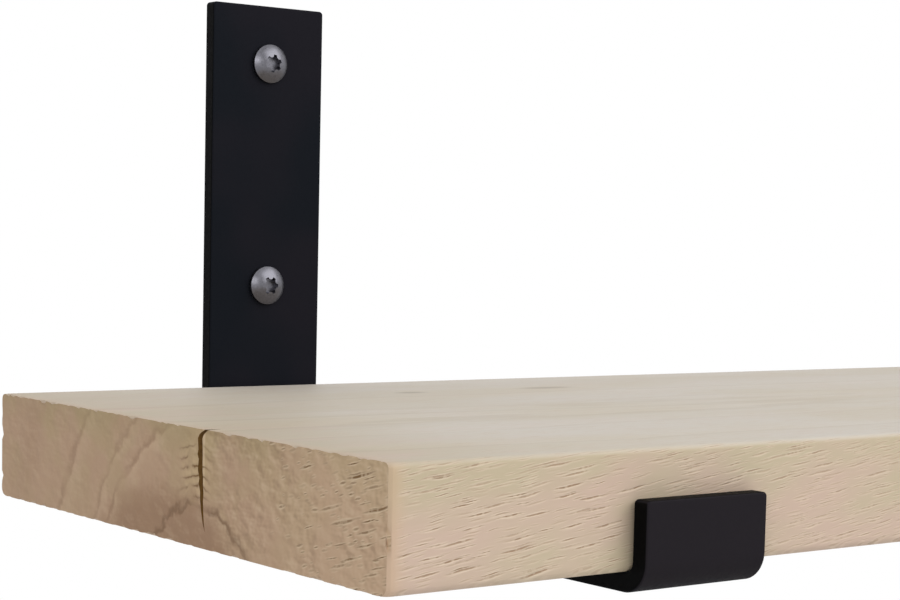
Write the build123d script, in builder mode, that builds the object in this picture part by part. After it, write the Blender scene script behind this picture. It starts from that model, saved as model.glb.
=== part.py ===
"""Wall shelf: a solid oak board lying in two bent flat-bar brackets.

Millimetres. The origin is the centre of the four wall fixings, on the wall plane.
+X runs along the board, +Y goes into the wall, +Z is up, and the shelf's front faces -Y.
"""

import math
import os

from build123d import *

# Oak board: one plank with eased edges and a drying check in its left end.
board_length = 600.0
board_depth = 200.0
board_thickness = 30.0
board_corner_radius = 2.5
board_top_edge_radius = 1.5
check_from_back = 117.0
check_width = 1.8
check_height = 24.0
check_depth = 8.0
check_lean = 2.0

# Flat-bar bracket: wall plate, bend, arm under the board, bend, front lip.
bar_width = 40.0
bar_thickness = 5.0
bar_edge_radius = 0.6
bar_corner_radius = 1.2
bend_inner_radius = 3.0
plate_above_board = 120.0
lip_above_arm = 18.0
bracket_inset = 70.0
board_play = 1.0

# Wall fixings: two screws to a plate, each in a plug set below the wall's face.
wall_hole_spacing = 70.0
wall_hole_from_top = 18.0
wall_hole_clearance = 0.25
wall_screw_length = 35.0
wall_screw_head_diameter = 12.0
wall_screw_head_height = 3.6
wall_screw_shank_diameter = 4.3
wall_screw_thread_diameter = 6.0
wall_screw_core_diameter = 3.9
wall_screw_pitch = 2.6
wall_screw_plain_length = 8.0
wall_screw_recess_diameter = 5.6
wall_screw_recess_depth = 2.4

# Wall plug: a nylon sleeve with ribs, four slits and two fins.
plug_diameter = 8.0
plug_length = 25.0
plug_set_back = 2.5
plug_bore_clearance = 0.1
plug_mouth_length = 7.0
plug_end_length = 5.0
plug_rib_pitch = 3.2
plug_rib_depth = 0.35
plug_slit_width = 1.0
plug_fin_width = 0.9
plug_fin_rise = 0.6

# Board screws: two through each arm, up into the board from below.
board_screw_length = 25.0
board_screw_head_diameter = 8.0
board_screw_head_height = 2.5
board_screw_shank_diameter = 3.0
board_screw_thread_diameter = 4.0
board_screw_core_diameter = 2.6
board_screw_pitch = 1.8
board_screw_plain_length = 6.4
board_screw_recess_diameter = 3.9
board_screw_recess_depth = 1.6
board_screw_from_edge = 50.0
board_screw_clearance = 0.1
arm_hole_clearance = 0.25
blind_hole_clearance = 1.0

# Heights and depths that follow from the sizes above.
plate_top_z = wall_hole_spacing / 2 + wall_hole_from_top
board_top_z = plate_top_z - plate_above_board
board_bottom_z = board_top_z - board_thickness
arm_bottom_z = board_bottom_z - bar_thickness
lip_top_z = board_bottom_z + lip_above_arm
board_back_y = -(bar_thickness + board_play)
board_front_y = board_back_y - board_depth
lip_back_y = board_front_y - board_play
lip_front_y = lip_back_y - bar_thickness
bracket_x = board_length / 2 - bracket_inset - bar_width / 2
board_screw_ys = {
    "back": board_back_y - board_screw_from_edge,
    "front": board_front_y + board_screw_from_edge,
}

check_top_y = board_back_y - check_from_back
check_low_y = check_top_y - check_lean

# The board's lower edges are rounded enough to clear the inside of the bends.
board_lower_edge_radius = bend_inner_radius - board_play / 2

wall_hole_radius = wall_screw_thread_diameter / 2 + wall_hole_clearance
arm_hole_radius = board_screw_thread_diameter / 2 + arm_hole_clearance
board_hole_radius = board_screw_thread_diameter / 2 + board_screw_clearance
board_hole_depth = board_screw_length - bar_thickness + blind_hole_clearance
plug_radius = plug_diameter / 2
plug_bore_radius = wall_screw_thread_diameter / 2 + plug_bore_clearance

# Left or right bracket, the side it stands on, and how far each screw was turned.
sides = {"left": -1, "right": 1}
wall_screw_turns = {
    "left_upper": -20.0,
    "left_lower": 0.0,
    "right_upper": 14.0,
    "right_lower": -38.0,
}
board_screw_turns = {
    "left_back": 8.0,
    "left_front": 31.0,
    "right_back": -17.0,
    "right_front": 22.0,
}


def pan_head_screw(
    length, head_diameter, head_height, shank_diameter, thread_diameter,
    core_diameter, pitch, plain_length, recess_diameter, recess_depth,
):
    """A pan head screw standing on +Z: head below Z = 0, tip at Z = length."""
    head_radius = head_diameter / 2
    rim_height = 0.36 * head_height
    dome_height = head_height - rim_height
    dome_radius = (head_radius**2 + dome_height**2) / (2 * dome_height)
    dome_middle = dome_radius - math.sqrt(dome_radius**2 - head_radius**2 / 4)
    core_radius = core_diameter / 2
    tip_length = 2 * core_diameter
    point_radius = 0.08 * core_radius
    root_radius = 0.92 * core_radius
    ridge_height = thread_diameter / 2 - root_radius
    ridge_half_root = 0.29 * pitch
    ridge_half_crest = 0.04 * pitch
    thread_turns = (length - tip_length - plain_length) / pitch
    tip_start = length - tip_length
    tip_angle = math.degrees(math.atan2(root_radius, tip_length))

    with BuildPart() as thread:
        with BuildLine() as thread_path:
            Helix(pitch, thread_turns * pitch, root_radius, center=(0, 0, plain_length))
        thread_line = thread_path.line
        with BuildSketch(Plane(thread_line @ 0, x_dir=(1, 0, 0), z_dir=thread_line % 0)):
            with BuildLine():
                Polyline(
                    (0, -ridge_half_root),
                    (ridge_height, -ridge_half_crest),
                    (ridge_height, ridge_half_crest),
                    (0, ridge_half_root),
                    close=True,
                )
            make_face()
        sweep(path=thread_line, is_frenet=True)

    # The thread runs on down the pointed tip, closing in on the axis.
    with BuildPart() as tip_thread:
        with BuildLine() as tip_path:
            Helix(
                pitch, 0.66 * tip_length, root_radius,
                center=(0, 0, 0), cone_angle=-tip_angle,
            )
        tip_line = tip_path.line
        with BuildSketch(Plane(tip_line @ 0, x_dir=(1, 0, 0), z_dir=tip_line % 0)):
            with BuildLine():
                Polyline(
                    (0, -ridge_half_root),
                    (ridge_height, -ridge_half_crest),
                    (ridge_height, ridge_half_crest),
                    (0, ridge_half_root),
                    close=True,
                )
            make_face()
        sweep(path=tip_line, is_frenet=True)

    with BuildPart() as screw:
        with BuildSketch(Plane.XZ):
            with BuildLine():
                Polyline(
                    (0, -head_height),
                    (0, length),
                    (point_radius, length),
                    (core_radius, tip_start),
                    (core_radius, plain_length + pitch / 2),
                    (shank_diameter / 2, plain_length),
                    (shank_diameter / 2, 0),
                    (head_radius, 0),
                    (head_radius, -rim_height),
                )
                ThreePointArc(
                    (head_radius, -rim_height),
                    (head_radius / 2, -head_height + dome_middle),
                    (0, -head_height),
                )
            make_face()
        revolve(axis=Axis.Z)
        add(thread.part)
        with Locations(Location((0, 0, tip_start), (0, 0, 360 * (thread_turns % 1)))):
            add(tip_thread.part)
        # Six-lobed recess in the top of the dome.
        with BuildSketch(Plane.XY.offset(-head_height)):
            Circle(recess_diameter / 2)
            with PolarLocations(0.52 * recess_diameter, 6, start_angle=30):
                Circle(0.16 * recess_diameter, mode=Mode.SUBTRACT)
        extrude(amount=recess_depth, mode=Mode.SUBTRACT)
    return screw.part


# Shelf board
with BuildPart() as shelf_board:
    with BuildSketch(Plane.XY.offset(board_bottom_z)):
        with Locations((0, (board_back_y + board_front_y) / 2)):
            Rectangle(board_length, board_depth)
    extrude(amount=board_thickness)
    fillet(shelf_board.edges().filter_by(Axis.Z), board_corner_radius)
    fillet(shelf_board.faces().sort_by(Axis.Z)[-1].edges(), board_top_edge_radius)
    fillet(shelf_board.faces().sort_by(Axis.Z)[0].edges(), board_lower_edge_radius)
    # Drying check: a wedge that closes downward and inward from the left end.
    with BuildSketch(Plane.XY.offset(board_top_z)):
        with BuildLine():
            Polyline(
                (-board_length / 2, check_top_y + check_width / 2),
                (-board_length / 2 + check_depth, check_top_y),
                (-board_length / 2, check_top_y - check_width / 2),
                close=True,
            )
        make_face()
    with BuildSketch(Plane.XY.offset(board_top_z - check_height)):
        with BuildLine():
            Polyline(
                (-board_length / 2, check_low_y + check_width / 10),
                (-board_length / 2 + check_depth / 4, check_low_y),
                (-board_length / 2, check_low_y - check_width / 10),
                close=True,
            )
        make_face()
    loft(mode=Mode.SUBTRACT)
    # Blind holes for the screws that come up through the arms.
    with BuildSketch(Plane.XY.offset(board_bottom_z)):
        for side in sides.values():
            for screw_y in board_screw_ys.values():
                with Locations((side * bracket_x, screw_y)):
                    Circle(board_hole_radius)
    extrude(amount=board_hole_depth, mode=Mode.SUBTRACT)
shelf_board.part.label = "shelf_board"

# Bent flat-bar brackets
brackets = []
for side_name, side in sides.items():
    with BuildPart() as bracket:
        with BuildSketch(Plane.YZ.offset(side * bracket_x - bar_width / 2)):
            with BuildLine():
                Polyline(
                    (0, plate_top_z),
                    (0, arm_bottom_z),
                    (lip_front_y, arm_bottom_z),
                    (lip_front_y, lip_top_z),
                    (lip_back_y, lip_top_z),
                    (lip_back_y, board_bottom_z),
                    (-bar_thickness, board_bottom_z),
                    (-bar_thickness, plate_top_z),
                    close=True,
                )
            make_face()
        extrude(amount=bar_width)
        long_edges = bracket.edges().filter_by(Axis.X)
        outer_bends = long_edges.filter_by_position(Axis.Z, arm_bottom_z, arm_bottom_z)
        fillet(outer_bends, bend_inner_radius + bar_thickness)
        long_edges = bracket.edges().filter_by(Axis.X)
        inner_corners = long_edges.filter_by_position(Axis.Z, board_bottom_z, board_bottom_z)
        inner_bends = [
            edge for edge in inner_corners
            if abs(edge.center().Y - lip_back_y) < 0.01
            or abs(edge.center().Y + bar_thickness) < 0.01
        ]
        fillet(inner_bends, bend_inner_radius)
        end_corners = bracket.edges().filter_by(Axis.Y).filter_by(
            lambda edge: abs(edge.length - bar_thickness) < 0.01
        )
        fillet(end_corners, bar_corner_radius)
        # The coated bar has no sharp edge along its sides and its two ends.
        side_faces = bracket.faces().filter_by(Axis.X)
        fillet(side_faces.edges(), bar_edge_radius)
        for hole_side in (-1, 1):
            with Locations(
                Plane(
                    (side * bracket_x, -bar_thickness, hole_side * wall_hole_spacing / 2),
                    x_dir=(1, 0, 0), z_dir=(0, -1, 0),
                )
            ):
                Hole(wall_hole_radius, depth=bar_thickness)
        for screw_y in board_screw_ys.values():
            with Locations((side * bracket_x, screw_y, board_bottom_z)):
                Hole(arm_hole_radius, depth=bar_thickness)
    bracket.part.label = side_name + "_bracket"
    brackets.append(bracket.part)

# Wall screws, their heads on the plates' front faces
wall_screw = pan_head_screw(
    wall_screw_length, wall_screw_head_diameter, wall_screw_head_height,
    wall_screw_shank_diameter, wall_screw_thread_diameter, wall_screw_core_diameter,
    wall_screw_pitch, wall_screw_plain_length,
    wall_screw_recess_diameter, wall_screw_recess_depth,
)

# Board screws, their heads under the arms
board_screw = pan_head_screw(
    board_screw_length, board_screw_head_diameter, board_screw_head_height,
    board_screw_shank_diameter, board_screw_thread_diameter, board_screw_core_diameter,
    board_screw_pitch, board_screw_plain_length,
    board_screw_recess_diameter, board_screw_recess_depth,
)

# Wall plug: ribbed between a plain mouth and a pointed end, slit into four legs
rib_count = int((plug_length - plug_mouth_length - plug_end_length) / plug_rib_pitch)
rib_points = []
for rib in range(rib_count):
    rib_z = plug_mouth_length + rib * plug_rib_pitch
    rib_points.append((plug_radius - plug_rib_depth, rib_z))
    rib_points.append((plug_radius, rib_z + 0.8 * plug_rib_pitch))
with BuildPart() as wall_plug:
    with BuildSketch(Plane.XZ):
        with BuildLine():
            Polyline(
                (plug_bore_radius, 0),
                (plug_radius, 0),
                (plug_radius, plug_mouth_length),
                *rib_points,
                (plug_radius, plug_length - plug_end_length),
                (plug_bore_radius + 0.5 * (plug_radius - plug_bore_radius), plug_length),
                (plug_bore_radius, plug_length),
                close=True,
            )
        make_face()
    revolve(axis=Axis.Z)
    with BuildSketch(Plane.XY.offset(plug_mouth_length)):
        Rectangle(3 * plug_diameter, plug_slit_width)
        Rectangle(plug_slit_width, 3 * plug_diameter)
    extrude(amount=plug_length - plug_mouth_length - plug_end_length, mode=Mode.SUBTRACT)
    # Two fins beside the mouth keep the plug from turning in its hole.
    with BuildSketch(Plane.XY.offset(0.2 * plug_mouth_length)):
        with Locations((plug_radius, 0), (-plug_radius, 0)):
            Rectangle(2 * plug_fin_rise, plug_fin_width)
    extrude(amount=0.7 * plug_mouth_length)

wall_fixings = []
board_fixings = []
for side_name, side in sides.items():
    for height_name, height in {"upper": 1, "lower": -1}.items():
        place_name = side_name + "_" + height_name
        fixing_x = side * bracket_x
        fixing_z = height * wall_hole_spacing / 2
        turn = wall_screw_turns[place_name]
        with BuildPart() as placed_screw:
            with Locations(Location((fixing_x, -bar_thickness, fixing_z), (-90, 0, turn))):
                add(wall_screw)
        placed_screw.part.label = place_name + "_wall_screw"
        wall_fixings.append(placed_screw.part)
        with BuildPart() as placed_plug:
            with Locations(Location((fixing_x, plug_set_back, fixing_z), (-90, 0, 45))):
                add(wall_plug.part)
        placed_plug.part.label = place_name + "_wall_plug"
        wall_fixings.append(placed_plug.part)
    for depth_name, screw_y in board_screw_ys.items():
        place_name = side_name + "_" + depth_name
        turn = board_screw_turns[place_name]
        with BuildPart() as placed_screw:
            with Locations(Location((side * bracket_x, screw_y, arm_bottom_z), (0, 0, turn))):
                add(board_screw)
        placed_screw.part.label = place_name + "_board_screw"
        board_fixings.append(placed_screw.part)

os.makedirs("parts", exist_ok=True)
for piece in [shelf_board.part] + brackets + wall_fixings + board_fixings:
    export_step(piece, "parts/" + piece.label + ".step")
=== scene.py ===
"""Looks of the wall shelf: an oak board in two black flat-bar brackets, on a pale stage."""

import math

import bmesh
import bpy
from mathutils import Matrix, Vector, noise


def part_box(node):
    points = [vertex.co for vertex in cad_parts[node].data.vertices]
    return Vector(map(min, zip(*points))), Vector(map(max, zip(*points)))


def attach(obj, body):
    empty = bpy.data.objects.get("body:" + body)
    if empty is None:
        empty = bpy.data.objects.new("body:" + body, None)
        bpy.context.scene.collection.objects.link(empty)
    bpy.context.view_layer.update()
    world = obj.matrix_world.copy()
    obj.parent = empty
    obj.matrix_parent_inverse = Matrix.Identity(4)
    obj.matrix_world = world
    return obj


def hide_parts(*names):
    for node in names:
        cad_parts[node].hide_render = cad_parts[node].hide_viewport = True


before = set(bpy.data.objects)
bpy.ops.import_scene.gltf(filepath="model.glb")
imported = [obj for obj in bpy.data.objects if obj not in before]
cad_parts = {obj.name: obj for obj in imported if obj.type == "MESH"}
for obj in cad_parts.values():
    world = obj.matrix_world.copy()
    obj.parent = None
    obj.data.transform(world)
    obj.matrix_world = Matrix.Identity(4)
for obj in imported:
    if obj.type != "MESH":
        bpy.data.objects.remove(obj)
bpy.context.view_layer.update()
mm = 0.001

# Oak board
# One plank of untreated oak, planed, rounded over along its edges and then sawn to length,
# which tore the fibres round the rims of its ends. It was cut close above the heart of the
# log, so the years on its ends run round a point below it, and its left end has dried open.
board_low, board_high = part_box("shelf_board")
board_middle = (board_low + board_high) / 2
board_half = (board_high - board_low) / 2
top_edge_radius = 1.5 * mm
lower_edge_radius = 2.5 * mm
corner_radius = 4.0 * mm
sawn_off = 1.8 * mm
level_within = 0.01 * mm
check_y = board_high.y - 117.0 * mm


def round_over(shape, edges, radius, segments):
    """Rounds edges of a shape."""
    bmesh.ops.bevel(
        shape, geom=edges, offset=radius, offset_type="OFFSET", segments=segments,
        profile=0.5, affect="EDGES", material=-1,
    )


def edges_at(shape, height):
    """The edges that lie level at one height."""
    return [
        edge for edge in shape.edges
        if all(abs(corner.co.z - height) < level_within for corner in edge.verts)
    ]


def finish_piece(name, shape, body="root"):
    """Makes an object of a bmesh that is already in place, and lets it ride on a body."""
    mesh = bpy.data.meshes.new(name)
    shape.to_mesh(mesh)
    shape.free()
    for polygon in mesh.polygons:
        polygon.use_smooth = True
    piece = bpy.data.objects.new(name, mesh)
    bpy.context.scene.collection.objects.link(piece)
    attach(piece, body)
    return piece


plank = bmesh.new()
bmesh.ops.create_cube(plank, size=2.0)
uprights = [edge for edge in plank.edges if edge.verts[0].co.z != edge.verts[1].co.z]
bmesh.ops.scale(plank, vec=board_half + Vector((sawn_off, 0, 0)), verts=plank.verts)
bmesh.ops.translate(plank, vec=board_middle, verts=plank.verts)
round_over(plank, uprights, corner_radius, segments=4)
round_over(plank, edges_at(plank, board_high.z), top_edge_radius, segments=4)
round_over(plank, edges_at(plank, board_low.z), lower_edge_radius, segments=5)

# Each end is sawn off flat, a little inside the rounding, and gets a narrow border.
border_width = 0.7 * mm
rim_width = 1 * mm
strip_width = 10 * mm
ends = ((board_low.x, -1), (board_high.x, 1))
for end_x, outward in ends:
    for inside, sawn in ((strip_width, False), (rim_width, False), (0, True)):
        bmesh.ops.bisect_plane(
            plank, geom=plank.verts[:] + plank.edges[:] + plank.faces[:], clear_outer=sawn,
            plane_co=(end_x - outward * inside, 0, 0), plane_no=(outward, 0, 0),
        )
    rim = [edge for edge in plank.edges if edge.is_boundary]
    for edge in rim:
        edge.smooth = False
    end_face = bmesh.ops.contextual_create(plank, geom=rim)["faces"]
    bmesh.ops.inset_individual(
        plank, faces=end_face, thickness=border_width, use_even_offset=True
    )
    for edge in end_face[0].edges:
        edge.smooth = True

# The whole plank is divided finely across, so that its ends can be torn along their rims and
# left a little uneven by the saw.
tear_step = 1.5 * mm
on_cut_within = 0.02 * mm
for across in (Vector((0, 1, 0)), Vector((0, 0, 1))):
    steps = round(2 * board_half.dot(across) / tear_step)
    for step in range(1, steps):
        bmesh.ops.bisect_plane(
            plank, geom=plank.verts[:] + plank.edges[:] + plank.faces[:], dist=on_cut_within,
            plane_co=board_low.lerp(board_high, step / steps), plane_no=across,
        )
tear_size = 3 * mm
tear_depth = 1.2 * mm
tear_slant = 0.6
whole_by_check = 6 * mm
whole_by_corner = 3 * mm
saw_mark_size = 4.5 * mm
saw_mark_depth = 0.25 * mm
for end_x, outward in ends:
    for corner in plank.verts:
        if abs(corner.co.x - end_x) > level_within:
            continue
        off = corner.co - board_middle
        if all(edge.smooth for edge in corner.link_edges):
            saw_mark = 0.5 + 0.5 * noise.fractal(corner.co / saw_mark_size, 1.0, 2.0, 2)
            corner.co.x -= outward * saw_mark_depth * saw_mark
            continue
        tear = max(0.0, noise.fractal(corner.co / tear_size, 1.0, 2.0, 2)) * tear_depth
        tear *= min(1.0, abs(corner.co.y - check_y) / whole_by_check)
        inward = -tear_slant * outward
        if abs(off.y) < board_half.y - whole_by_corner:
            corner.co += tear * Vector((inward, 0, -math.copysign(1.0, off.z)))
        elif abs(off.z) < board_half.z - whole_by_corner:
            corner.co += tear * Vector((inward, -math.copysign(1.0, off.y), 0))
bmesh.ops.recalc_face_normals(plank, faces=plank.faces)
board = finish_piece("oak_board", plank)

# Each row: how far below the top, how far it leans to the front, its width and its depth.
check_stations = (
    (-0.6, 4.0, 1.5, 4.0),
    (0.2, 2.7, 1.8, 4.5),
    (0.8, 1.4, 2.0, 5.0),
    (1.5, 0.4, 2.2, 5.5),
    (2.4, -0.1, 2.3, 6.5),
    (5.2, 0.1, 2.3, 7.4),
    (6.4, -0.1, 2.8, 7.6),
    (7.6, 0.2, 2.2, 7.8),
    (10.4, 0.1, 2.4, 8.0),
    (12.4, 0.5, 2.0, 7.6),
    (13.8, 0.3, 2.4, 7.4),
    (15.6, 0.9, 1.9, 7.0),
    (18.0, 0.8, 1.7, 6.0),
    (21.0, 1.3, 1.2, 4.5),
    (23.5, 1.8, 0.7, 3.0),
    (25.5, 2.6, 0.14, 1.5),
)
past_the_end = 0.5 * mm


def place_blade(corners, drop, lean, width, depth):
    """Moves a blade's three corners to one height: its two mouth corners and its inner edge."""
    middle = check_y - lean * mm
    height = board_high.z - drop * mm
    mouth_x = board_low.x - past_the_end
    inner, *mouth = sorted(corners, key=lambda corner: -corner.co.x)
    mouth.sort(key=lambda corner: corner.co.y)
    inner.co = (board_low.x + depth * mm, middle, height)
    mouth[0].co = (mouth_x, middle - width * mm / 2, height)
    mouth[1].co = (mouth_x, middle + width * mm / 2, height)


blade = bmesh.new()
corners = [blade.verts.new(place) for place in ((0, -1, 0), (1, 0, 0), (0, 1, 0))]
blade_end = blade.faces.new(corners)
place_blade(corners, *check_stations[0])
for station in check_stations[1:]:
    grown = bmesh.ops.extrude_face_region(blade, geom=[blade_end])["geom"]
    if station != check_stations[1]:
        bmesh.ops.delete(blade, geom=[blade_end], context="FACES_ONLY")
    blade_end = next(part for part in grown if isinstance(part, bmesh.types.BMFace))
    place_blade(blade_end.verts, *station)
bmesh.ops.recalc_face_normals(blade, faces=blade.faces)
check_blade = finish_piece("check_blade", blade)

# Sanded oak: pale and dry, scored by fine dark pores that follow the grain, painted greyer and
# lighter on top as a painted sheen, and browner on the ends, where the years show round the
# heart of the log.


def colour(hex_value):
    """The linear colour of an sRGB hex value."""
    channels = [int(hex_value[i:i + 2], 16) / 255 for i in (0, 2, 4)]
    linear = [c / 12.92 if c <= 0.04045 else ((c + 0.055) / 1.055) ** 2.4 for c in channels]
    return (*linear, 1.0)


def add_node(tree, kind, inputs=None, **settings):
    """Adds a node with its settings, gives each input a value or a link, and gives its output."""
    node = tree.nodes.new("ShaderNode" + kind)
    for name, value in settings.items():
        setattr(node, name, value)
    for key, value in (inputs or {}).items():
        if isinstance(value, bpy.types.NodeSocket):
            tree.links.new(value, node.inputs[key])
        else:
            node.inputs[key].default_value = value
    return next(socket for socket in node.outputs if socket.enabled)


def new_material(name, **shader_values):
    """A material with one shader: itself, its tree and its shader's sockets."""
    material = bpy.data.materials.new(name)
    material.use_nodes = True
    sockets = material.node_tree.nodes["Principled BSDF"].inputs
    for key, value in shader_values.items():
        sockets[key.replace("_", " ")].default_value = value
    return material, material.node_tree, sockets


def strokes(tree, place, length, width, faintest=0.35):
    """Slim soft strokes strewn over a face, one to a cell of a stretched pattern.

    The pattern lies askew, so that its strokes don't line up in columns. Gives how deep in a
    stroke a point lies, how close beside one, where that stroke's middle is, and a random
    number of its own.
    """
    askew = math.radians(31.0)
    # A stroke's reach in cells, the part of it at full depth, and its width as a part of what the
    # painted highlights beside it take up.
    shortest, longest = 0.16, 0.46
    core_part = 0.35
    width_in_highlights = 0.38
    stretched = add_node(
        tree, "VectorMath", {0: place, 1: (1 / length, 1 / width, 0)}, operation="MULTIPLY"
    )
    turned = add_node(
        tree, "VectorRotate", {"Vector": stretched, "Angle": askew}, rotation_type="Z_AXIS"
    )
    nearest = add_node(
        tree, "TexVoronoi", {"Vector": turned, "Scale": 1.0, "Randomness": 0.9},
        voronoi_dimensions="2D",
    ).node.outputs
    centre = add_node(
        tree, "VectorRotate", {"Vector": nearest["Position"], "Angle": -askew},
        rotation_type="Z_AXIS",
    )
    own = add_node(tree, "SeparateColor", {0: nearest["Color"]}).node.outputs
    reach = add_node(
        tree, "MapRange", {"Value": own["Green"], "To Min": shortest, "To Max": longest}
    )
    strength = add_node(tree, "MapRange", {"Value": own["Blue"], "To Min": faintest})
    core = add_node(tree, "Math", {0: reach, 1: core_part}, operation="MULTIPLY")
    inside = add_node(
        tree, "MapRange", {"Value": nearest["Distance"], "From Min": reach, "From Max": core},
        interpolation_type="SMOOTHSTEP",
    )
    offset = add_node(tree, "VectorMath", {0: stretched, 1: centre}, operation="SUBTRACT")
    narrowed = add_node(
        tree, "VectorMath", {0: offset, 1: (1, width_in_highlights, 0)}, operation="MULTIPLY"
    )
    around = add_node(tree, "VectorMath", {0: narrowed}, operation="LENGTH")
    beside = add_node(
        tree, "MapRange", {"Value": around, "From Min": reach, "From Max": core},
        interpolation_type="SMOOTHSTEP",
    )
    middle = add_node(
        tree, "VectorMath", {0: centre, 1: (length, width, 0)}, operation="MULTIPLY"
    )
    return (
        add_node(tree, "Math", {0: inside, 1: strength}, operation="MULTIPLY"),
        add_node(tree, "Math", {0: beside, 1: strength}, operation="MULTIPLY"),
        middle, own["Red"],
    )


oak, tree, shader = new_material("sanded_oak", IOR=1.45)
texture = add_node(tree, "TexCoord").node.outputs
place = texture["Object"]
where = add_node(tree, "SeparateXYZ", {0: place}).node.outputs
facing = add_node(tree, "SeparateXYZ", {0: texture["Normal"]}).node.outputs
from_middle = add_node(tree, "Math", {0: where["X"]}, operation="ABSOLUTE")

# Waves, slow ones and fine ones, that keep lines from running ruler straight.
wave_length = 8 * mm
wave_height = 1.0 * mm
waves = add_node(
    tree, "TexNoise", {"Vector": place, "Scale": 1 / wave_length, "Detail": 3.0}
).node.outputs["Color"]
waver = add_node(tree, "VectorMath", {0: waves, 1: (0, wave_height, 0)}, operation="MULTIPLY")

# Long grain runs the length of the board and climbs a little to the right. Height and depth
# are added up, so that it turns the corner from the front to the top unbroken.
grain_slope = math.radians(8.0)
round_the_corner = add_node(tree, "Math", {0: where["Y"], 1: where["Z"]}, operation="ADD")
unrolled = add_node(tree, "CombineXYZ", {"X": where["X"], "Y": round_the_corner})
along_grain = add_node(
    tree, "VectorRotate", {"Vector": unrolled, "Angle": -grain_slope}, rotation_type="Z_AXIS"
)
wavy_grain = add_node(tree, "VectorMath", {0: along_grain, 1: waver}, operation="ADD")

# Pores are sunk strokes, 5 to 14 mm long, in denser and thinner patches. They are drawn up to
# 0.7 mm wide, about twice the real width, so that they show. They are strongest towards the
# ends of the board, stop short of the last few millimetres, and are faint on the top, which
# was sanded finer.
pore_cores, painted_pore_highlights, pore_place, pore_number = strokes(
    tree, wavy_grain, length=15 * mm, width=0.8 * mm
)
pore_patches = add_node(tree, "TexNoise", {"Vector": pore_place, "Scale": 1 / (24 * mm)})
pore_share = add_node(
    tree, "MapRange",
    {"Value": pore_patches, "From Min": 0.3, "From Max": 0.7, "To Min": 0.5, "To Max": 1.0},
)
pores_kept = add_node(tree, "Math", {0: pore_number, 1: pore_share}, operation="LESS_THAN")
clear_of_ends = add_node(
    tree, "MapRange",
    {"Value": from_middle,
     "From Min": board_high.x - 1 * mm, "From Max": board_high.x - 4.5 * mm},
    interpolation_type="SMOOTHSTEP",
)
from_side_to_top = {"Value": facing["Z"], "From Min": 0.25, "From Max": 0.95}
off_the_top = add_node(tree, "MapRange", {**from_side_to_top, "To Min": 1.0, "To Max": 0.3})
pores_open = add_node(tree, "Math", {0: clear_of_ends, 1: off_the_top}, operation="MULTIPLY")
pore_strength = add_node(
    tree, "MapRange",
    {"Value": from_middle,
     "From Min": board_high.x - 130 * mm, "From Max": board_high.x - 40 * mm,
     "To Min": 0.75, "To Max": 1.0},
    interpolation_type="SMOOTHSTEP",
)
pore_breaks = add_node(
    tree, "TexNoise", {"Vector": place, "Scale": 1 / (1.6 * mm), "Detail": 1.0}
)
pore_whole = add_node(
    tree, "MapRange",
    {"Value": pore_breaks, "From Min": 0.32, "From Max": 0.55, "To Min": 0.55, "To Max": 1.0},
    interpolation_type="SMOOTHSTEP",
)
pores_shown = add_node(tree, "Math", {0: pores_kept, 1: pores_open}, operation="MULTIPLY")
pores_shown = add_node(tree, "Math", {0: pores_shown, 1: pore_strength}, operation="MULTIPLY")
painted_pore_highlights = add_node(tree, "Math", {0: painted_pore_highlights, 1: pores_shown}, operation="MULTIPLY")
pores = add_node(tree, "Math", {0: pore_cores, 1: pores_shown}, operation="MULTIPLY")
pores = add_node(tree, "Math", {0: pores, 1: pore_whole}, operation="MULTIPLY")

# Between them run finer and shorter ones.
fine_cores, painted_fine_highlights, _, fine_number = strokes(
    tree, wavy_grain, length=9 * mm, width=0.75 * mm
)
fine_density = 0.8
fine_kept = add_node(tree, "Math", {0: fine_number, 1: fine_density}, operation="LESS_THAN")
fine_shown = add_node(tree, "Math", {0: fine_kept, 1: pores_open}, operation="MULTIPLY")
painted_fine_highlights = add_node(tree, "Math", {0: painted_fine_highlights, 1: fine_shown}, operation="MULTIPLY")
fine_pores = add_node(tree, "Math", {0: fine_cores, 1: fine_shown}, operation="MULTIPLY")

# Years go round the heart of the log. Each row: how far out of the heart a tone lies in
# millimetres, and how light it is. Dark ones are late wood.
heart = Vector((0, board_high.y - 116.2 * mm, board_low.z - 22 * mm))
year_tones = (
    (20, 0.45), (30.8, 0.66), (32.2, 0.10), (34, 0.50), (46, 0.50), (52.0, 0.70), (53.4, 0.12),
    (55.0, 0.50), (59.6, 0.62), (60.8, 0.22), (62.5, 0.50), (70, 0.52), (78.0, 0.64),
    (79.6, 0.18), (82, 0.50), (92, 0.54), (104, 0.38), (118, 0.52),
)
outermost_year = 120.0


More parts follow.
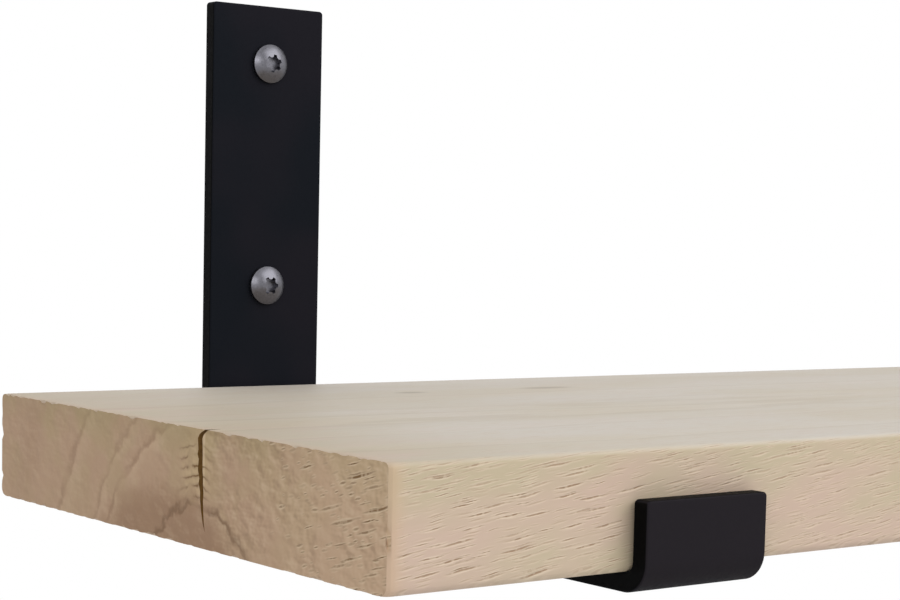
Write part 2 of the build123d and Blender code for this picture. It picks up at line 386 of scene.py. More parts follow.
def years_round_heart(tree, place, stretch, wanders):
    """How light the years are at a place, and that place with their wandering added.

    Each of the wanders has a size and a reach, and is drawn out along the board by stretch.
    """
    drawn_out = add_node(
        tree, "VectorMath", {0: place, 1: (1 / stretch, 1, 1)}, operation="MULTIPLY"
    )
    wandered = place
    for size, reach in wanders:
        wander = add_node(
            tree, "TexNoise", {"Vector": drawn_out, "Scale": 1 / size, "Detail": 2.0}
        ).node.outputs["Color"]
        centred = add_node(
            tree, "VectorMath", {0: wander, 1: (0.5, 0.5, 0.5)}, operation="SUBTRACT"
        )
        wandered = add_node(
            tree, "VectorMath", {0: centred, 1: (0, reach, reach), 2: wandered},
            operation="MULTIPLY_ADD",
        )
    outwards = add_node(tree, "VectorMath", {0: wandered, 1: heart}, operation="SUBTRACT")
    outwards = add_node(tree, "VectorMath", {0: outwards, 1: (0, 1, 1)}, operation="MULTIPLY")
    radius = add_node(tree, "VectorMath", {0: outwards}, operation="LENGTH")
    year_place = add_node(
        tree, "Math", {0: radius, 1: 1 / (outermost_year * mm)}, operation="MULTIPLY"
    )
    years = add_node(tree, "ValToRGB", {0: year_place})
    ramp = years.node.color_ramp
    ramp.interpolation = "EASE"
    for number, (distance, tone) in enumerate(year_tones):
        if number < 2:
            year = ramp.elements[number]
            year.position = distance / outermost_year
        else:
            year = ramp.elements.new(distance / outermost_year)
        year.color = (tone, tone, tone, 1.0)
    return years, wandered


# Along the board they are drawn out into long lines.
long_years, _ = years_round_heart(
    tree, place, stretch=7.0, wanders=((24 * mm, 26 * mm), (3 * mm, 3 * mm))
)
dark_years = add_node(
    tree, "MapRange", {"Value": long_years, "From Min": 0.5, "From Max": 0.12, "To Max": 0.2}
)
pale_years = add_node(
    tree, "MapRange", {"Value": long_years, "From Min": 0.52, "From Max": 0.7, "To Max": 0.15}
)

# Colour of the long faces: straw and pink in soft patches, pinker low down, with faint lines
# of the years, fine fibres, drawn coarser than they are, and a warmer edge by the ends.
patch_place = add_node(
    tree, "VectorMath", {0: along_grain, 1: (0.45, 1.0, 1.0)}, operation="MULTIPLY"
)
long_patches = add_node(
    tree, "TexNoise", {"Vector": patch_place, "Scale": 1 / (16 * mm), "Detail": 2.0}
)
pink_by_height = add_node(
    tree, "MapRange",
    {"Value": where["Z"], "From Min": board_low.z, "From Max": board_high.z,
     "To Min": 0.12, "To Max": -0.12},
)
pink_level = add_node(tree, "Math", {0: long_patches, 1: pink_by_height}, operation="ADD")
pink_share = add_node(
    tree, "MapRange", {"Value": pink_level, "From Min": 0.3, "From Max": 0.7},
    interpolation_type="SMOOTHSTEP",
)
long_grain = add_node(
    tree, "Mix", {0: pink_share, 6: colour("BBAD92"), 7: colour("C3AB9A")}, data_type="RGBA"
)
for year_share, tone in ((dark_years, "8F7354"), (pale_years, "D8C5AC")):
    long_grain = add_node(
        tree, "Mix", {0: year_share, 6: long_grain, 7: colour(tone)}, data_type="RGBA"
    )
fibre_place = add_node(
    tree, "VectorMath", {0: wavy_grain, 1: (0.08, 1.0, 1.0)}, operation="MULTIPLY"
)
fibres = add_node(
    tree, "TexNoise", {"Vector": fibre_place, "Scale": 1 / (0.9 * mm), "Detail": 2.0}
)
fibre_share = add_node(
    tree, "MapRange", {"Value": fibres, "From Min": 0.35, "From Max": 0.8, "To Max": 0.12}
)
fibre_share = add_node(tree, "Math", {0: fibre_share, 1: off_the_top}, operation="MULTIPLY")
long_grain = add_node(
    tree, "Mix", {0: fibre_share, 6: long_grain, 7: colour("B39C85")}, data_type="RGBA"
)
warm_share = add_node(
    tree, "MapRange",
    {"Value": from_middle, "From Min": board_high.x - 6 * mm, "From Max": board_high.x,
     "To Max": 0.6},
    interpolation_type="SMOOTHSTEP",
)
long_grain = add_node(
    tree, "Mix", {0: warm_share, 6: long_grain, 7: colour("C4A687")}, data_type="RGBA"
)

# The top is painted greyer and lighter, a painted sheen, in soft streaks, and less so towards
# the ends. Two small knots have been planed across near its back edge. Each row: a knot's
# middle, and half its length and width.
streak_place = add_node(
    tree, "VectorMath", {0: place, 1: (0.3, 1.0, 1.0)}, operation="MULTIPLY"
)
sheen_streaks = add_node(
    tree, "TexNoise", {"Vector": streak_place, "Scale": 1 / (28 * mm), "Detail": 3.0}
)
sheen_streak_share = add_node(
    tree, "MapRange", {"Value": sheen_streaks, "From Min": 0.35, "From Max": 0.65},
    interpolation_type="SMOOTHSTEP",
)
top_sheen_and_grain = add_node(
    tree, "Mix", {0: sheen_streak_share, 6: colour("D1CAC1"), 7: colour("CCC3B4")}, data_type="RGBA"
)
for year_share, tone in ((dark_years, "B0A08A"), (pale_years, "DDD3C4")):
    top_sheen_and_grain = add_node(
        tree, "Mix", {0: year_share, 6: top_sheen_and_grain, 7: colour(tone)}, data_type="RGBA"
    )
pin_knots = (
    (Vector((board_low.x + 118 * mm, board_high.y - 41 * mm, 0)), 8 * mm, 4 * mm),
    (Vector((board_low.x + 173 * mm, board_high.y - 40 * mm, 0)), 15 * mm, 5 * mm),
)
for knot, length, width in pin_knots:
    knot_place = add_node(tree, "VectorMath", {0: place, 1: knot}, operation="SUBTRACT")
    knot_place = add_node(
        tree, "VectorMath", {0: knot_place, 1: (1 / length, 1 / width, 0)}, operation="MULTIPLY"
    )
    knot_reach = add_node(tree, "VectorMath", {0: knot_place}, operation="LENGTH")
    knot_share = add_node(
        tree, "MapRange", {"Value": knot_reach, "From Min": 1.0, "From Max": 0.2, "To Max": 0.55},
        interpolation_type="SMOOTHSTEP",
    )
    top_sheen_and_grain = add_node(
        tree, "Mix", {0: knot_share, 6: top_sheen_and_grain, 7: colour("8C7D70")}, data_type="RGBA"
    )
# Painted sheen: faces turned up take the greyer, lighter top colour, less so near the ends.
sheen_by_facing_up = add_node(tree, "MapRange", {**from_side_to_top, "To Max": 0.85})
sheen_by_end = add_node(
    tree, "MapRange",
    {"Value": from_middle, "From Min": board_high.x, "From Max": board_high.x - 70 * mm,
     "To Min": 0.35, "To Max": 1.0},
    interpolation_type="SMOOTHSTEP",
)
painted_sheen_share = add_node(tree, "Math", {0: sheen_by_facing_up, 1: sheen_by_end}, operation="MULTIPLY")
long_grain = add_node(
    tree, "Mix", {0: painted_sheen_share, 6: long_grain, 7: top_sheen_and_grain}, data_type="RGBA"
)

# The pores lie over all of this, dark, with painted highlights beside them.
for marks, most, tone in (
    (painted_fine_highlights, 0.4, "DFCDB6"), (fine_pores, 0.45, "8A6A50"),
    (painted_pore_highlights, 0.65, "E2D0BA"), (pores, 0.78, "7A5530"),
):
    mark_share = add_node(tree, "Math", {0: marks, 1: most}, operation="MULTIPLY")
    long_grain = add_node(
        tree, "Mix", {0: mark_share, 6: long_grain, 7: colour(tone)}, data_type="RGBA"
    )

# Years on the ends, as rings round the heart that wander a little.
years, wandered = years_round_heart(
    tree, place, stretch=1.0, wanders=((26 * mm, 10 * mm), (3.5 * mm, 4.5 * mm))
)
year_by_side = add_node(
    tree, "MapRange",
    {"Value": where["Y"], "From Min": check_y - 20 * mm, "From Max": check_y,
     "To Min": 0.45, "To Max": 1.0},
    interpolation_type="SMOOTHSTEP",
)
year_patches = add_node(
    tree, "TexNoise", {"Vector": place, "Scale": 1 / (11 * mm), "Detail": 2.0}
)
year_by_patch = add_node(
    tree, "MapRange",
    {"Value": year_patches, "From Min": 0.3, "From Max": 0.6, "To Min": 0.25, "To Max": 1.0},
    interpolation_type="SMOOTHSTEP",
)
year_show = add_node(tree, "Math", {0: year_by_side, 1: year_by_patch}, operation="MULTIPLY")

# Under them lie soft patches of greener and pinker wood. The top rim is greener still, and
# the front edge is paler.
end_patches = add_node(
    tree, "TexNoise", {"Vector": place, "Scale": 1 / (14 * mm), "Detail": 3.0}
)
green_by_patch = add_node(
    tree, "MapRange",
    {"Value": end_patches, "From Min": 0.38, "From Max": 0.62, "To Max": 0.75},
    interpolation_type="SMOOTHSTEP",
)
green_by_height = add_node(
    tree, "MapRange",
    {"Value": where["Z"], "From Min": board_low.z, "From Max": board_high.z,
     "To Min": 0.3, "To Max": 1.0},
)
green_share = add_node(
    tree, "Math", {0: green_by_patch, 1: green_by_height}, operation="MULTIPLY"
)
end_grain = add_node(
    tree, "Mix", {0: green_share, 6: colour("B8987C"), 7: colour("B39B76")}, data_type="RGBA"
)
for even_tone, full_tone, most, tone in (
    (0.5, 0.12, 0.5, "8A694D"), (0.52, 0.70, 0.35, "D8BE9E"),
):
    year_share = add_node(
        tree, "MapRange",
        {"Value": years, "From Min": even_tone, "From Max": full_tone, "To Max": most},
    )
    year_share = add_node(tree, "Math", {0: year_share, 1: year_show}, operation="MULTIPLY")
    end_grain = add_node(
        tree, "Mix", {0: year_share, 6: end_grain, 7: colour(tone)}, data_type="RGBA"
    )
rim_share = add_node(
    tree, "MapRange",
    {"Value": where["Z"], "From Min": board_high.z - 8 * mm, "From Max": board_high.z,
     "To Max": 0.6},
)
rim_share = add_node(tree, "Math", {0: rim_share, 1: end_patches}, operation="MULTIPLY")
end_grain = add_node(
    tree, "Mix", {0: rim_share, 6: end_grain, 7: colour("9C8B60")}, data_type="RGBA"
)
pale_share = add_node(
    tree, "MapRange",
    {"Value": where["Y"], "From Min": board_low.y + 70 * mm, "From Max": board_low.y + 10 * mm,
     "To Max": 0.4},
    interpolation_type="SMOOTHSTEP",
)
end_grain = add_node(
    tree, "Mix", {0: pale_share, 6: end_grain, 7: colour("D2B596")}, data_type="RGBA"
)

# Low in the middle, near the heart, the wood is browner. On the left end a dark year shows to
# both sides of the check there, and close beside the check the wood has yellowed.
brown_middle = Vector((0, board_high.y - 100 * mm, board_low.z - 3 * mm))
brown_width = 38 * mm
brown_height = 18 * mm
brown_place = add_node(
    tree, "VectorMath", {0: wandered, 1: brown_middle}, operation="SUBTRACT"
)
brown_place = add_node(
    tree, "VectorMath", {0: brown_place, 1: (0, 1 / brown_width, 1 / brown_height)},
    operation="MULTIPLY",
)
brown_reach = add_node(tree, "VectorMath", {0: brown_place}, operation="LENGTH")
brown_share = add_node(
    tree, "MapRange",
    {"Value": brown_reach, "From Min": 1.15, "From Max": 0.6, "To Max": 0.85},
    interpolation_type="SMOOTHSTEP",
)
end_grain = add_node(
    tree, "Mix", {0: brown_share, 6: end_grain, 7: colour("99775B")}, data_type="RGBA"
)
on_left_end = add_node(tree, "Math", {0: where["X"], 1: 0.0}, operation="LESS_THAN")
behind_check = add_node(tree, "Math", {0: where["Y"], 1: check_y}, operation="SUBTRACT")
beside_check = add_node(tree, "Math", {0: behind_check}, operation="ABSOLUTE")
ring_share = add_node(
    tree, "MapRange", {"Value": years, "From Min": 0.5, "From Max": 0.12, "To Max": 0.6}
)
ring_by_reach = add_node(
    tree, "MapRange", {"Value": brown_reach, "From Min": 1.35, "From Max": 1.0},
    interpolation_type="SMOOTHSTEP",
)
ring_by_side = add_node(
    tree, "MapRange", {"Value": beside_check, "From Min": 1 * mm, "From Max": 6 * mm},
    interpolation_type="SMOOTHSTEP",
)
ring_by_length = add_node(
    tree, "MapRange", {"Value": beside_check, "From Min": 36 * mm, "From Max": 28 * mm},
    interpolation_type="SMOOTHSTEP",
)
for share in (ring_by_reach, ring_by_side, ring_by_length, on_left_end):
    ring_share = add_node(tree, "Math", {0: ring_share, 1: share}, operation="MULTIPLY")
end_grain = add_node(
    tree, "Mix", {0: ring_share, 6: end_grain, 7: colour("6E4F30")}, data_type="RGBA"
)
yellow_by_side = add_node(
    tree, "MapRange",
    {"Value": beside_check, "From Min": 10 * mm, "From Max": 1 * mm, "To Max": 0.4},
    interpolation_type="SMOOTHSTEP",
)
yellow_by_height = add_node(
    tree, "MapRange",
    {"Value": where["Z"], "From Min": board_low.z + 10 * mm, "From Max": board_low.z + 20 * mm},
    interpolation_type="SMOOTHSTEP",
)
yellow_by_height = add_node(
    tree, "Math", {0: yellow_by_height, 1: on_left_end}, operation="MULTIPLY"
)
yellow_share = add_node(
    tree, "Math", {0: yellow_by_side, 1: yellow_by_height}, operation="MULTIPLY"
)
end_grain = add_node(
    tree, "Mix", {0: yellow_share, 6: end_grain, 7: colour("B39A6C")}, data_type="RGBA"
)

# A narrow painted highlight runs down the front edge of the check on the left end, fading out low
# down.
check_highlight_offset = 1.7 * mm
behind_check_highlight = add_node(tree, "Math", {0: behind_check, 1: check_highlight_offset}, operation="ADD")
beside_check_highlight = add_node(tree, "Math", {0: behind_check_highlight}, operation="ABSOLUTE")
check_highlight_share = add_node(
    tree, "MapRange",
    {"Value": beside_check_highlight, "From Min": 0.8 * mm, "From Max": 0.3 * mm, "To Max": 0.5},
    interpolation_type="SMOOTHSTEP",
)
check_highlight_share = add_node(
    tree, "Math", {0: check_highlight_share, 1: yellow_by_height}, operation="MULTIPLY"
)
end_grain = add_node(
    tree, "Mix", {0: check_highlight_share, 6: end_grain, 7: colour("DCC3A2")}, data_type="RGBA"
)
arc_behind = add_node(
    tree, "MapRange",
    {"Value": behind_check, "From Min": 13 * mm, "From Max": 4 * mm},
    interpolation_type="SMOOTHSTEP",
)
arc_in_front = add_node(
    tree, "MapRange",
    {"Value": behind_check, "From Min": -7 * mm, "From Max": 0.0},
    interpolation_type="SMOOTHSTEP",
)
arc_show = add_node(tree, "Math", {0: arc_behind, 1: arc_in_front}, operation="MULTIPLY")
arc_gaps = add_node(tree, "TexNoise", {"Vector": place, "Scale": 1 / (5 * mm)})
arc_whole = add_node(
    tree, "MapRange", {"Value": arc_gaps, "From Min": 0.36, "From Max": 0.54},
    interpolation_type="SMOOTHSTEP",
)
arc_by_height = add_node(
    tree, "MapRange",
    {"Value": where["Z"],
     "From Min": board_high.z - 21 * mm, "From Max": board_high.z - 15 * mm},
    interpolation_type="SMOOTHSTEP",
)
arc_under_top = add_node(
    tree, "MapRange",
    {"Value": where["Z"], "From Min": board_high.z - 3 * mm, "From Max": board_high.z - 6 * mm},
    interpolation_type="SMOOTHSTEP",
)
for share in (arc_whole, arc_by_height, arc_under_top, on_left_end):
    arc_show = add_node(tree, "Math", {0: arc_show, 1: share}, operation="MULTIPLY")
arc_slope = 0.22
arc_waver = 3.5 * mm
arc_spacing = 2.6 * mm
arc_rise = add_node(
    tree, "Math", {0: beside_check, 1: arc_slope, 2: where["Z"]}, operation="MULTIPLY_ADD"
)
arc_rise = add_node(
    tree, "Math", {0: arc_gaps, 1: arc_waver, 2: arc_rise}, operation="MULTIPLY_ADD"
)
arc_turn = add_node(tree, "Math", {0: arc_rise, 1: 1 / arc_spacing}, operation="MULTIPLY")
arc_wave = add_node(tree, "Math", {0: arc_turn, 1: 0.5}, operation="PINGPONG")
arc_dark = add_node(
    tree, "MapRange", {"Value": arc_wave, "From Min": 0.32, "From Max": 0.47, "To Max": 0.85},
    interpolation_type="SMOOTHSTEP",
)
arc_pale = add_node(
    tree, "MapRange", {"Value": arc_wave, "From Min": 0.3, "From Max": 0.15, "To Max": 0.4},
    interpolation_type="SMOOTHSTEP",
)
arc_dark = add_node(tree, "Math", {0: arc_dark, 1: arc_show}, operation="MULTIPLY")
arc_pale = add_node(tree, "Math", {0: arc_pale, 1: arc_show}, operation="MULTIPLY")
end_grain = add_node(
    tree, "Mix", {0: arc_pale, 6: end_grain, 7: colour("D3B98F")}, data_type="RGBA"
)
end_grain = add_node(
    tree, "Mix", {0: arc_dark, 6: end_grain, 7: colour("66440F")}, data_type="RGBA"
)

# The saw has left the ends rough: little lifted places, with a painted highlight on one flank
# and painted shade on the other.
lifted_size = 3.2 * mm
painted_flank_step = 0.5 * mm
lifted_place = add_node(
    tree, "VectorMath", {0: place, 1: (1.0, 0.6, 1.0)}, operation="MULTIPLY"
)
lifted = add_node(
    tree, "TexNoise", {"Vector": lifted_place, "Scale": 1 / lifted_size, "Detail": 2.0}
)
one_step_on = add_node(
    tree, "VectorMath", {0: lifted_place, 1: (0, -painted_flank_step, painted_flank_step)}, operation="ADD"
)
lifted_beside = add_node(
    tree, "TexNoise", {"Vector": one_step_on, "Scale": 1 / lifted_size, "Detail": 2.0}
)
painted_flank_light = add_node(tree, "Math", {0: lifted, 1: lifted_beside}, operation="SUBTRACT")
painted_flank_most = add_node(
    tree, "MapRange",
    {"Value": behind_check, "From Min": 15 * mm, "From Max": -20 * mm,
     "To Min": 0.14, "To Max": 0.38},
    interpolation_type="SMOOTHSTEP",
)
painted_flank_most = add_node(tree, "Math", {0: painted_flank_most, 1: year_by_patch}, operation="MULTIPLY")
# Painted highlight on one flank, painted shade on the other.
for steepest, tone in ((0.16, "DCC4A6"), (-0.16, "7F6448")):
    painted_flank_share = add_node(
        tree, "MapRange", {"Value": painted_flank_light, "From Max": steepest, "To Max": painted_flank_most}
    )
    end_grain = add_node(
        tree, "Mix", {0: painted_flank_share, 6: end_grain, 7: colour(tone)}, data_type="RGBA"
    )

# Torn fibres on the ends: long strokes close to the front edge, and short pits behind them,
# each with a painted highlight beside it.
tear_slope = math.radians(15.0)
to_front = add_node(tree, "Math", {0: where["Y"], 1: -1.0}, operation="MULTIPLY")
end_place = add_node(tree, "CombineXYZ", {"X": to_front, "Y": where["Z"]})
along_tears = add_node(
    tree, "VectorRotate", {"Vector": end_place, "Angle": -tear_slope}, rotation_type="Z_AXIS"
)
wavy_tears = add_node(tree, "VectorMath", {0: along_tears, 1: waver}, operation="ADD")
tear_cores, painted_tear_highlights, tear_place, tear_number = strokes(
    tree, wavy_tears, length=17 * mm, width=1.15 * mm, faintest=0.6
)
tear_to_front = add_node(tree, "SeparateXYZ", {0: tear_place})
tear_share = add_node(
    tree, "MapRange",
    {"Value": tear_to_front,
     "From Min": -board_low.y - 70 * mm, "From Max": -board_low.y - 18 * mm, "To Max": 0.9},
    interpolation_type="SMOOTHSTEP",
)
tears_kept = add_node(tree, "Math", {0: tear_number, 1: tear_share}, operation="LESS_THAN")
pit_cores, painted_pit_highlights, pit_place, pit_number = strokes(
    tree, wavy_tears, length=5 * mm, width=1.0 * mm, faintest=0.2
)
pit_to_front = add_node(tree, "SeparateXYZ", {0: pit_place})
pit_share = add_node(
    tree, "MapRange",
    {"Value": pit_to_front, "From Min": -check_y, "From Max": -check_y + 25 * mm, "To Max": 0.38},
    interpolation_type="SMOOTHSTEP",
)
pits_kept = add_node(tree, "Math", {0: pit_number, 1: pit_share}, operation="LESS_THAN")
tear_cores = add_node(tree, "Math", {0: tear_cores, 1: tears_kept}, operation="MULTIPLY")
painted_tear_highlights = add_node(tree, "Math", {0: painted_tear_highlights, 1: tears_kept}, operation="MULTIPLY")
pit_cores = add_node(tree, "Math", {0: pit_cores, 1: pits_kept}, operation="MULTIPLY")
pit_strength = 0.8
pit_cores = add_node(tree, "Math", {0: pit_cores, 1: pit_strength}, operation="MULTIPLY")
painted_pit_highlights = add_node(tree, "Math", {0: painted_pit_highlights, 1: pits_kept}, operation="MULTIPLY")
end_marks = add_node(tree, "Math", {0: tear_cores, 1: pit_cores}, operation="MAXIMUM")
end_marks = add_node(tree, "Math", {0: end_marks, 1: pore_whole}, operation="MULTIPLY")
painted_end_highlights = add_node(tree, "Math", {0: painted_tear_highlights, 1: painted_pit_highlights}, operation="MAXIMUM")
# Painted highlights beside the tears and pits, then the dark marks themselves.
for marks, most, tone in ((painted_end_highlights, 0.75, "DEC7A8"), (end_marks, 0.92, "66420C")):
    mark_share = add_node(tree, "Math", {0: marks, 1: most}, operation="MULTIPLY")
    end_grain = add_node(
        tree, "Mix", {0: mark_share, 6: end_grain, 7: colour(tone)}, data_type="RGBA"
    )

# The way a face points says which of the two it shows.
endways = add_node(tree, "Math", {0: facing["X"]}, operation="ABSOLUTE")
end_share = add_node(
    tree, "MapRange", {"Value": endways, "From Min": 0.75, "From Max": 0.9},
    interpolation_type="SMOOTHSTEP",
)
oak_colour = add_node(
    tree, "Mix", {0: end_share, 6: long_grain, 7: end_grain}, data_type="RGBA"
)
tree.links.new(oak_colour, shader["Base Color"])

# Sanding leaves a low sheen between the pores, and the hollows themselves are fully dull.
oak_roughness = add_node(
    tree, "MapRange",
    {"Value": fibres, "From Min": 0.2, "From Max": 0.8, "To Min": 0.56, "To Max": 0.66},
)
end_hollows = add_node(tree, "Math", {0: end_marks, 1: arc_dark}, operation="MAXIMUM")
hollows = add_node(tree, "Mix", {0: end_share, 2: pores, 3: end_hollows})
oak_roughness = add_node(tree, "Math", {0: oak_roughness, 1: hollows}, operation="MAXIMUM")
tree.links.new(oak_roughness, shader["Roughness"])

# Pores and torn fibres are sunk into the surface. Sanding has left the long faces smooth
# between them, and the saw has left the ends rougher.
fine_pore_sink = -0.1
pore_sink = -0.6
tear_sink = -0.3
long_height = add_node(tree, "Math", {0: fine_pores, 1: fine_pore_sink}, operation="MULTIPLY")
long_height = add_node(
    tree, "Math", {0: pores, 1: pore_sink, 2: long_height}, operation="MULTIPLY_ADD"
)
end_height = add_node(tree, "Math", {0: end_marks, 1: tear_sink}, operation="MULTIPLY")
end_height = add_node(tree, "Math", {0: end_height, 1: lifted}, operation="ADD")
height = add_node(tree, "Mix", {0: end_share, 2: long_height, 3: end_height})
relief = add_node(tree, "Bump", {"Strength": 0.7, "Distance": 0.3 * mm, "Height": height})
tree.links.new(relief, shader["Normal"])

# Dark oak in the check: the sides of the check were never planed, and are painted dark brown,
# a painted shade for the depth of the narrow crack.
shaded_check_oak, tree, shader = new_material("dark_check_painted_shade", Roughness=0.9)
check_place = add_node(tree, "TexCoord").node.outputs["Object"]
check_fibre = add_node(
    tree, "TexNoise", {"Vector": check_place, "Scale": 1 / (1.2 * mm), "Detail": 2.0}
)
check_shade_colour = add_node(
    tree, "Mix", {0: check_fibre, 6: colour("4E340F"), 7: colour("8A642A")}, data_type="RGBA"
)
tree.links.new(check_shade_colour, shader["Base Color"])

# The blade cuts the check and leaves its own material on the sides, with sharp edges there.
board.data.materials.append(oak)
board.data.materials.append(shaded_check_oak)
check_blade.data.materials.append(shaded_check_oak)
cut = board.modifiers.new("drying check", "BOOLEAN")
cut.operation = "DIFFERENCE"
cut.solver = "MANIFOLD"
cut.object = check_blade
cut.material_mode = "TRANSFER"
bpy.context.view_layer.update()
checked = bpy.data.meshes.new_from_object(
    board.evaluated_get(bpy.context.evaluated_depsgraph_get())
)
board.modifiers.clear()
board.data = checked
bpy.data.objects.remove(check_blade)
checked_shape = bmesh.new()
checked_shape.from_mesh(checked)
for edge in checked_shape.edges:
    if len({face.material_index for face in edge.link_faces}) > 1:
        edge.smooth = False
checked_shape.to_mesh(checked)
checked_shape.free()
even_shading = board.modifiers.new("even shading", "WEIGHTED_NORMAL")
even_shading.keep_sharp = True
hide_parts("shelf_board")

# Brackets
# Each is one length of 40 x 5 mm flat steel bar, drilled, bent twice and powder coated
# black. The upright is screwed to the wall, and the lip keeps the board from sliding off.

# Black powder coat: a dull, faintly bumpy skin with a cold tinge, a little warmer on the lip.
# The narrow edges of the bar and its faces turned up are painted blacker, a painted shade.
coat, tree, shader = new_material("black_powder_coat", Specular_IOR_Level=0.03)
texture = add_node(tree, "TexCoord").node.outputs
facing = add_node(tree, "SeparateXYZ", {0: texture["Normal"]}).node.outputs
coat_patches = add_node(
    tree, "TexNoise", {"Vector": texture["Object"], "Scale": 1 / (35 * mm), "Detail": 1.0}
)
coat_share = add_node(
    tree, "MapRange", {"Value": coat_patches, "From Min": 0.35, "From Max": 0.65},
    interpolation_type="SMOOTHSTEP",
)
coat_colour = add_node(
    tree, "Mix", {0: coat_share, 6: colour("14171D"), 7: colour("1B1A20")}, data_type="RGBA"
)
coat_where = add_node(tree, "SeparateXYZ", {0: texture["Object"]}).node.outputs
on_lip = add_node(
    tree, "MapRange",
    {"Value": coat_where["Y"], "From Min": board_low.y, "From Max": board_low.y - 4 * mm},
)
coat_colour = add_node(
    tree, "Mix", {0: on_lip, 6: coat_colour, 7: colour("221F23")}, data_type="RGBA"
)
# Painted shade: faces turned sideways or up are mixed towards near black.
sideways = add_node(tree, "Math", {0: facing["X"]}, operation="ABSOLUTE")
sideways_or_up = add_node(tree, "Math", {0: sideways, 1: facing["Z"]}, operation="MAXIMUM")
painted_edge_shade_share = add_node(
    tree, "MapRange", {"Value": sideways_or_up, "From Min": 0.7, "From Max": 0.95},
    interpolation_type="SMOOTHSTEP",
)
coat_colour = add_node(
    tree, "Mix", {0: painted_edge_shade_share, 6: coat_colour, 7: colour("060607")}, data_type="RGBA"
)
tree.links.new(coat_colour, shader["Base Color"])
coat_peel = add_node(
    tree, "TexNoise", {"Vector": texture["Object"], "Scale": 1 / (0.9 * mm), "Detail": 2.0}
)
coat_roughness = add_node(
    tree, "MapRange",
    {"Value": coat_peel, "From Min": 0.3, "From Max": 0.7, "To Min": 0.5, "To Max": 0.64},
)
tree.links.new(coat_roughness, shader["Roughness"])
coat_relief = add_node(
    tree, "Bump", {"Strength": 0.35, "Distance": 0.08 * mm, "Height": coat_peel}
)
tree.links.new(coat_relief, shader["Normal"])
for name in ("left_bracket", "right_bracket"):
    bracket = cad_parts[name]
    bracket.data.materials.clear()
    bracket.data.materials.append(coat)

# Screws
# Stainless pan head screws with a six-lobed recess and a rolled thread: long ones through the
# uprights into the plugs in the wall, and short ones up through the arms into the board.

# Stainless steel: cold-headed and tumbled, so a soft grey shine with small dull specks, drawn
# coarser than they are so that they show.
steel, tree, shader = new_material("stainless_steel", Metallic=1.0)
steel_place = add_node(tree, "TexCoord").node.outputs["Object"]
steel_specks = add_node(
    tree, "TexNoise", {"Vector": steel_place, "Scale": 1 / (0.8 * mm), "Detail": 2.0}
)
steel_colour = add_node(
    tree, "Mix", {0: steel_specks, 6: colour("5F5F66"), 7: colour("77767C")}, data_type="RGBA"
)
tree.links.new(steel_colour, shader["Base Color"])
steel_roughness = add_node(
    tree, "MapRange",
    {"Value": steel_specks, "From Min": 0.3, "From Max": 0.7, "To Min": 0.27, "To Max": 0.4},
)
tree.links.new(steel_roughness, shader["Roughness"])
steel_relief = add_node(
    tree, "Bump", {"Strength": 0.15, "Distance": 0.05 * mm, "Height": steel_specks}
)
tree.links.new(steel_relief, shader["Normal"])
for name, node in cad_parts.items():
    if name.endswith("_screw"):
        node.data.materials.clear()
        node.data.materials.append(steel)

# Wall plugs
# Nylon sleeves, each moulded in one piece with ribs and fins. They sit in holes in the wall,
# just below its face, and the long screws hold in them.

# Moulded nylon: milky, a little cloudy, with the mould's faint matt grain, drawn coarser than
# it is so that it shows.
nylon, tree, shader = new_material("moulded_nylon", IOR=1.53)
nylon_place = add_node(tree, "TexCoord").node.outputs["Object"]
nylon_clouds = add_node(
    tree, "TexNoise", {"Vector": nylon_place, "Scale": 1 / (4 * mm), "Detail": 2.0}
)
nylon_colour = add_node(
    tree, "Mix", {0: nylon_clouds, 6: colour("C4C3BC"), 7: colour("D2D1CB")}, data_type="RGBA"
)
tree.links.new(nylon_colour, shader["Base Color"])
nylon_grain = add_node(
    tree, "TexNoise", {"Vector": nylon_place, "Scale": 1 / (0.5 * mm), "Detail": 1.0}
)
nylon_roughness = add_node(
    tree, "MapRange", {"Value": nylon_grain, "To Min": 0.4, "To Max": 0.55}
)
tree.links.new(nylon_roughness, shader["Roughness"])
nylon_relief = add_node(
    tree, "Bump", {"Strength": 0.2, "Distance": 0.05 * mm, "Height": nylon_grain}
)
tree.links.new(nylon_relief, shader["Normal"])
for name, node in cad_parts.items():
    if name.endswith("_plug"):
        node.data.materials.clear()
        node.data.materials.append(nylon)

# Floor and light
# A pale studio floor well below the shelf, white paper all round, one large soft lamp above
# the right of the camera, and a small one to its left.
floor_drop = 450 * mm
floor_size = 12.0
fade_start = 0.9
fade_end = 1.6
white = (1, 1, 1, 1)
floor_shape = bmesh.new()
bmesh.ops.create_grid(floor_shape, x_segments=1, y_segments=1, size=floor_size / 2)
bmesh.ops.translate(floor_shape, vec=(0, 0, -floor_drop), verts=floor_shape.verts)
floor_mesh = bpy.data.meshes.new("studio_floor")
floor_shape.to_mesh(floor_mesh)
floor_shape.free()
floor = bpy.data.objects.new("studio_floor", floor_mesh)
bpy.context.scene.collection.objects.link(floor)


def seen_or_mirrored(tree):
    """One for what the camera sees, straight, in metal or through glass, and nought for light."""
    path = add_node(tree, "LightPath").node.outputs
    straight = add_node(
        tree, "Math", {0: path["Is Camera Ray"], 1: path["Is Glossy Ray"]}, operation="MAXIMUM"
    )
    return add_node(
        tree, "Math", {0: straight, 1: path["Is Transmission Ray"]}, operation="MAXIMUM"
    )


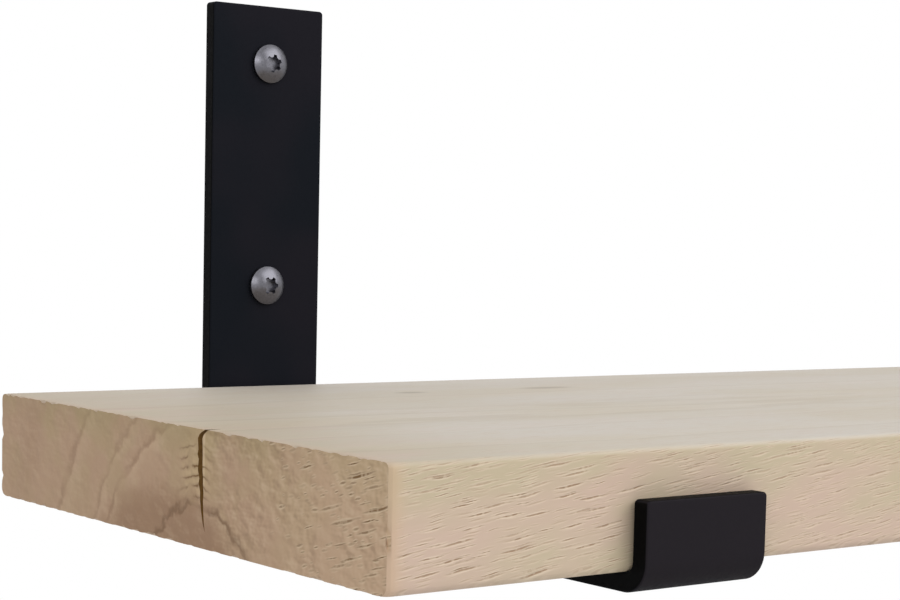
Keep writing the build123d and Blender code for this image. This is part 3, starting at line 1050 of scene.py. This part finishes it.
floor_paint, tree, shader = new_material(
    "studio_floor_paint", Roughness=0.8, Base_Color=colour("F2F2F0")
)
floor_place = add_node(tree, "TexCoord").node.outputs["Object"]
floor_far = add_node(tree, "VectorMath", {0: floor_place}, operation="LENGTH")
fade_to_white = add_node(
    tree, "MapRange", {"Value": floor_far, "From Min": fade_start, "From Max": fade_end},
    interpolation_type="SMOOTHSTEP",
)
white_share = add_node(
    tree, "Math", {0: fade_to_white, 1: seen_or_mirrored(tree)}, operation="MULTIPLY"
)
white_paper = add_node(tree, "Emission", {"Color": white, "Strength": 1.0})
floor_shader = tree.nodes["Principled BSDF"].outputs[0]
floor_mix = add_node(tree, "MixShader", {0: white_share, 1: floor_shader, 2: white_paper})
tree.links.new(floor_mix, tree.nodes["Material Output"].inputs["Surface"])
floor.data.materials.append(floor_paint)

studio = bpy.data.worlds.new("white_studio")
bpy.context.scene.world = studio
studio.use_nodes = True
tree = studio.node_tree
background = tree.nodes["Background"]
background.inputs["Color"].default_value = white
studio_light = 0.52
level = add_node(tree, "MapRange", {"Value": seen_or_mirrored(tree), "To Min": studio_light})
tree.links.new(level, background.inputs["Strength"])


def hang_lamp(name, place, aim, width, height, watts):
    """A soft rectangular lamp, turned to what it lights."""
    lamp = bpy.data.lights.new(name, "AREA")
    lamp.shape = "RECTANGLE"
    lamp.size = width
    lamp.size_y = height
    lamp.energy = watts
    stand = bpy.data.objects.new(name, lamp)
    stand.location = place
    stand.rotation_euler = (Vector(aim) - Vector(place)).to_track_quat("-Z", "Y").to_euler()
    bpy.context.scene.collection.objects.link(stand)


hang_lamp(
    "soft_lamp", place=(0.75, -1.35, 1.05), aim=(-0.15, -0.1, -0.06),
    width=2.2, height=1.6, watts=24.0,
)
hang_lamp(
    "fill_lamp", place=(-1.0, -0.85, 0.35), aim=(-0.25, -0.1, 0.0),
    width=0.5, height=0.5, watts=2.4,
)

# Camera
# It stands in front of the left end at about board height. The photograph is a part of a
# larger frame, so the lens is shifted to where that frame's middle was.
photo_width = 900
photo_height = 600
focal_pixels = 2057.4
centre_pixel = (520.0, 400.0)
camera_place = (-0.5545, -0.5714, -0.0169)
camera_yaw = math.radians(38.43)
camera_pitch = math.radians(-4.59)
camera_roll = math.radians(1.44)
sensor = 36.0
camera = bpy.data.cameras.new("photo_camera")
camera.sensor_width = sensor
camera.lens = focal_pixels / photo_width * sensor
camera.shift_x = (photo_width / 2 - centre_pixel[0]) / photo_width
camera.shift_y = (centre_pixel[1] - photo_height / 2) / photo_width
camera.clip_start = 0.01
camera_stand = bpy.data.objects.new("photo_camera", camera)
camera_turn = (
    Matrix.Rotation(-camera_yaw, 4, "Z")
    @ Matrix.Rotation(math.pi / 2 + camera_pitch, 4, "X")
    @ Matrix.Rotation(camera_roll, 4, "Z")
)
camera_stand.matrix_world = Matrix.Translation(camera_place) @ camera_turn
bpy.context.scene.collection.objects.link(camera_stand)
bpy.context.scene.camera = camera_stand

bpy.context.scene.view_settings.view_transform = "Standard"

bpy.context.view_layer.update()
